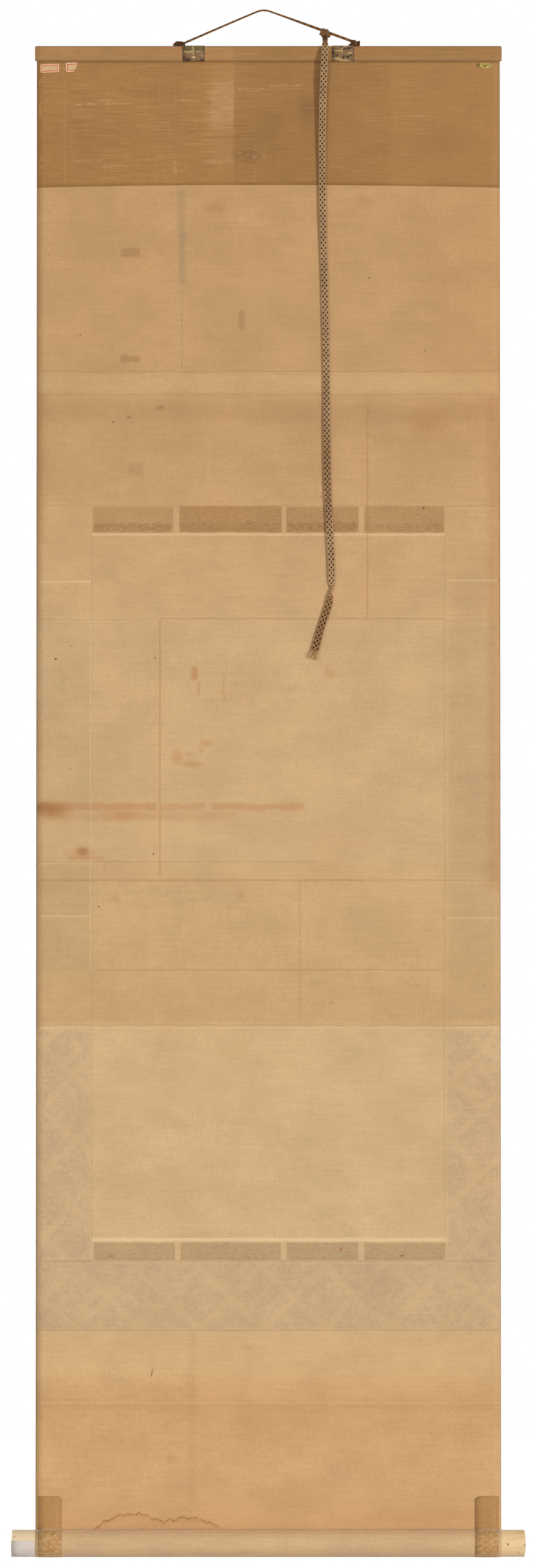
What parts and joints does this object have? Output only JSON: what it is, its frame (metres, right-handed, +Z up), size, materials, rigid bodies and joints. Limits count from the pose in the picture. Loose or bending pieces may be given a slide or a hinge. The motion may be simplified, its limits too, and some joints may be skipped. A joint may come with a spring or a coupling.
{
  "type": "paper hanging scroll",
  "caption": "Hanging scroll of paper and silk, shown from its back, with a wrapped stave, a hanging cord, a flat winding cord and a wrapped roller with wooden knobs.",
  "frame": {"origin": "hanging point: the middle of the hanging cord where it lies over its hook", "axes": "+X along the stave, to the right as the back is seen, +Y towards the picture side, +Z up"},
  "size_m": [0.6059, 0.0331, 1.8246],
  "materials": {
    "backing_paper": "matt aged handmade paper",
    "top_silk": "plain aged silk, slightly lustrous",
    "bottom_silk": "plain pale silk, slightly lustrous",
    "border_silk": "figured silk, slightly lustrous",
    "accent_silk": "figured silk with dull gold threads",
    "picture_ground": "bare toned ground",
    "cover_silk": "worn open-weave silk",
    "olive_brocade": "worn brocade with gold threads",
    "grey_brocade": "worn brocade with dark threads",
    "patch_silk": "worn open-weave silk",
    "stave_wood": "planed softwood",
    "roller_wood": "turned softwood",
    "knob_wood": "turned bare wood",
    "eyelet_metal": "dull brass",
    "hanging_cord": "round braid, two-coloured",
    "winding_cord": "flat openwork braid",
    "label_paper": "matt paper with a red border",
    "knob_label_paper": "matt white paper",
    "slip_paper": "folded thin paper"
  },
  "bodies": {
    "root": {"backing_paper_1": "backing_paper", "backing_paper_2": "backing_paper", "backing_paper_3": "backing_paper", "backing_paper_4": "backing_paper", "backing_paper_5": "backing_paper", "backing_paper_6": "backing_paper", "top_silk": "top_silk", "bottom_silk": "bottom_silk", "rear_cover_silk": "cover_silk", "picture_panel": "picture_ground", "top_stave": "stave_wood", "roller_rod": "roller_wood", "hanging_cord": "hanging_cord", "left_cord_knot": "hanging_cord", "right_cord_knot": "hanging_cord", "winding_cord": "winding_cord", "winding_cord_hitch": "winding_cord", "left_streamer": "olive_brocade", "right_streamer": "grey_brocade", "corner_label": "label_paper", "torn_label": "label_paper", "folded_slip": "slip_paper", "knob_label": "knob_label_paper", "middle_border_top": "border_silk", "middle_border_left": "border_silk", "middle_border_right": "border_silk", "middle_border_bottom": "border_silk", "upper_accent_strip_1": "accent_silk", "upper_accent_strip_2": "accent_silk", "upper_accent_strip_3": "accent_silk", "upper_accent_strip_4": "accent_silk", "lower_accent_strip_1": "accent_silk", "lower_accent_strip_2": "accent_silk", "lower_accent_strip_3": "accent_silk", "lower_accent_strip_4": "accent_silk", "left_eyelet": "eyelet_metal", "left_eyelet_washer": "eyelet_metal", "left_roller_knob": "knob_wood", "left_roller_patch": "patch_silk", "right_eyelet": "eyelet_metal", "right_eyelet_washer": "eyelet_metal", "right_roller_knob": "knob_wood", "right_roller_patch": "patch_silk"}
  },
  "joints": []
}
